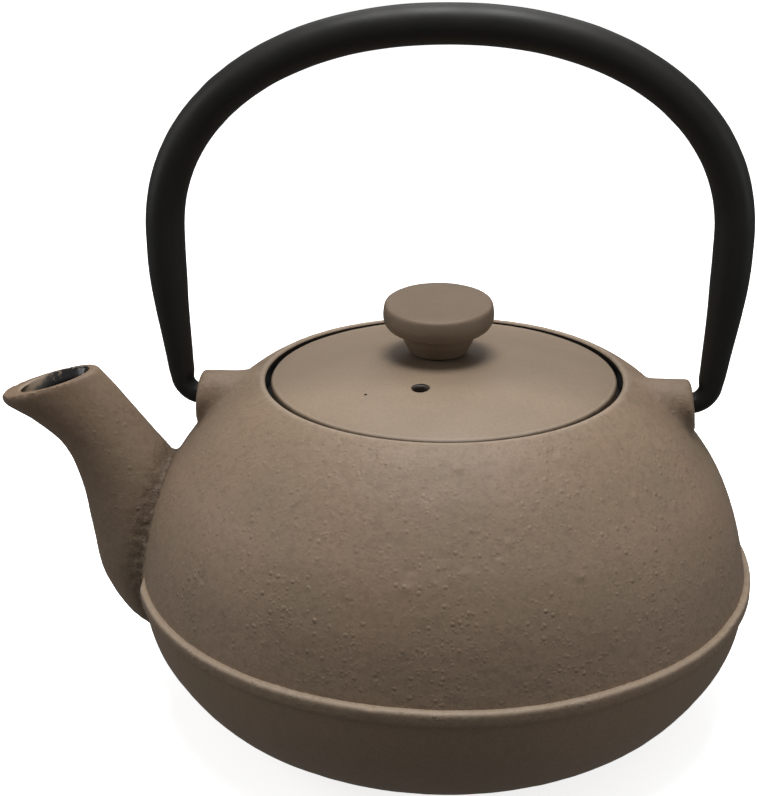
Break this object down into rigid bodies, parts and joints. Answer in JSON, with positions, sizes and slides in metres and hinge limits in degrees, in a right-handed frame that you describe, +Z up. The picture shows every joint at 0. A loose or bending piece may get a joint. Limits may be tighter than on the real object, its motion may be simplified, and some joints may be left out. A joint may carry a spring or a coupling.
{
  "type": "teapot",
  "caption": "Squat cast iron teapot with an upswept spout, a raised waist band, a domed lid with a round knob, a swinging arched bail handle and a steel tea infuser.",
  "frame": {"origin": "centre of the flat base, on the pot's axis", "axes": "+Z up along the pot's axis; the spout points along -X; the handle's hinge line and arch lie along X; -Y is the side with the lid's vent"},
  "size_m": [0.1834, 0.1504, 0.1702],
  "materials": {
    "pot_iron": "matte taupe enamel over a fine-grained casting, black enamel inside",
    "lid_iron": "smooth matte taupe enamel",
    "handle_coat": "satin black powder coat on steel tube",
    "fastener_steel": "plain steel",
    "infuser_steel": "pressed stainless sheet",
    "infuser_mesh": "fine woven stainless mesh"
  },
  "bodies": {
    "pot": {"pot_body": "pot_iron"},
    "infuser": {"infuser_rim": "infuser_steel", "infuser_wall": "infuser_mesh", "infuser_base_band": "infuser_steel", "infuser_base_mesh": "infuser_mesh"},
    "lid": {"lid": "lid_iron", "lid_knob": "lid_iron", "knob_screw": "fastener_steel", "knob_washer": "fastener_steel"},
    "handle": {"handle": "handle_coat"}
  },
  "joints": [
    {"name": "handle_swing", "type": "hinge", "parent": "pot", "child": "handle", "pos_m": [0, 0, 0.0773], "axis": [1, 0, 0], "range_deg": [-114, 114]},
    {"name": "infuser_lift", "type": "slide", "parent": "pot", "child": "infuser", "axis": [0, 0, 1], "range_m": [0, 0.055]},
    {"name": "lid_lift", "type": "slide", "parent": "infuser", "child": "lid", "axis": [0, 0, 1], "range_m": [0, 0.055]}
  ]
}
